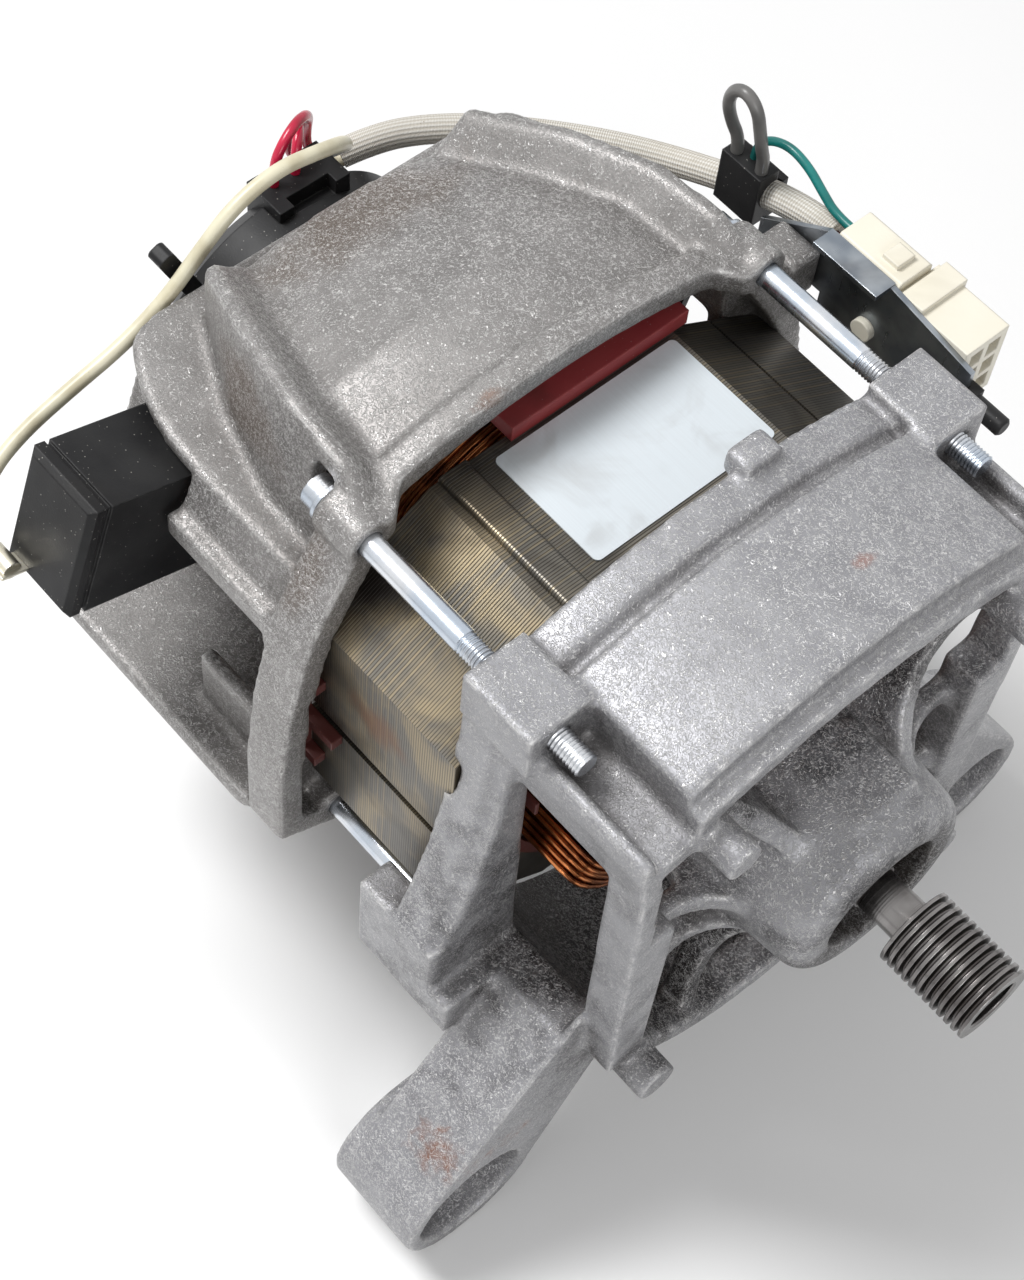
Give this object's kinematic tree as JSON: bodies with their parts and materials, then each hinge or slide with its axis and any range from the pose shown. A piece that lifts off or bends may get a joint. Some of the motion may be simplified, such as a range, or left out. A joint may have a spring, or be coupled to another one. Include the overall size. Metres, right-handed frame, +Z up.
{
  "type": "washing machine motor",
  "caption": "Open-frame universal motor for a washing machine, with die-cast end shields, a ribbed belt pulley, two mounting eyes, a tacho cap and brush boxes.",
  "frame": {"origin": "on the shaft's axis, at the middle of the pulley's ribs", "axes": "+X along the shaft out of the pulley end, +Z up through the rating plate, +Y to the side with the connectors"},
  "size_m": [0.287, 0.2368, 0.2244],
  "materials": {
    "die_cast": "as-cast, worn, lightly soiled",
    "lamination_steel": "stacked sheet edges with a thin varnish",
    "zinc_steel": "bright zinc plate",
    "machined_steel": "turned and oiled",
    "bearing_steel": "ground",
    "seal_rubber": "matte",
    "copper": "enamelled copper",
    "coil_tape": "varnished",
    "red_moulding": "moulded",
    "black_moulding": "moulded, dusty",
    "ivory_moulding": "moulded",
    "carbon": "pressed carbon",
    "terminal_brass": "stamped",
    "magnet": "sintered",
    "rating_foil": "bare foil",
    "sleeve_glass": "woven glass sleeve",
    "cream_insulation": "soft",
    "red_insulation": "soft, glossy",
    "grey_insulation": "soft",
    "teal_insulation": "soft",
    "dark_red_insulation": "soft"
  },
  "bodies": {
    "housing": {"bracket_pin": "black_moulding", "bracket_screw": "zinc_steel", "cable_clip": "black_moulding", "connector_bracket": "zinc_steel", "connector_housing": "ivory_moulding", "connector_peg": "ivory_moulding", "connector_plug": "ivory_moulding", "cream_brush_lead": "cream_insulation", "dark_red_lead": "dark_red_insulation", "front_bearing_balls": "bearing_steel", "front_bearing_outer_ring": "bearing_steel", "front_bearing_seals": "seal_rubber", "front_shield": "die_cast", "grey_lead": "grey_insulation", "left_brush_holder": "black_moulding", "left_brush_spring": "zinc_steel", "left_brush_terminal": "terminal_brass", "lower_field_coil": "coil_tape", "lower_field_wire": "copper", "rating_plate": "rating_foil", "rear_bearing_balls": "bearing_steel", "rear_bearing_outer_ring": "bearing_steel", "rear_bearing_seals": "seal_rubber", "rear_shield": "die_cast", "red_tacho_lead_a": "red_insulation", "red_tacho_lead_b": "red_insulation", "right_brush_holder": "black_moulding", "right_brush_spring": "zinc_steel", "right_brush_terminal": "terminal_brass", "stator_core": "lamination_steel", "tacho_cap": "black_moulding", "tacho_coil": "copper", "tacho_connector": "black_moulding", "teal_lead": "teal_insulation", "through_bolts": "zinc_steel", "upper_field_coil": "coil_tape", "upper_field_wire": "copper", "wave_washer": "zinc_steel", "white_sleeve": "sleeve_glass", "winding_frame_clips": "red_moulding", "winding_frame_front": "red_moulding", "winding_frame_rear": "red_moulding"},
    "rotor": {"shaft": "machined_steel", "shaft_collar": "machined_steel", "drive_pulley": "machined_steel", "rotor_core": "lamination_steel", "armature_winding_front": "copper", "armature_winding_rear": "copper", "armature_insulator_front": "red_moulding", "armature_insulator_rear": "red_moulding", "commutator_hub": "black_moulding", "commutator": "copper", "tacho_magnet": "magnet", "front_bearing_inner_ring": "bearing_steel", "rear_bearing_inner_ring": "bearing_steel"},
    "left_brush": {"left_carbon_brush": "carbon"},
    "right_brush": {"right_carbon_brush": "carbon"}
  },
  "joints": [
    {"name": "rotor_spin", "type": "hinge", "parent": "housing", "child": "rotor", "pos_m": [0, 0, 0], "axis": [1, 0, 0], "continuous": true},
    {"name": "left_brush_slide", "type": "slide", "parent": "housing", "child": "left_brush", "axis": [0, -0.9511, 0.309], "range_m": [0, 0.01], "stiffness_N_per_m": 150, "springref_m": -0.02, "deforming": ["left_brush_spring"]},
    {"name": "right_brush_slide", "type": "slide", "parent": "housing", "child": "right_brush", "axis": [0, 0.9511, -0.309], "range_m": [0, 0.01], "stiffness_N_per_m": 150, "springref_m": -0.02, "deforming": ["right_brush_spring"]}
  ]
}
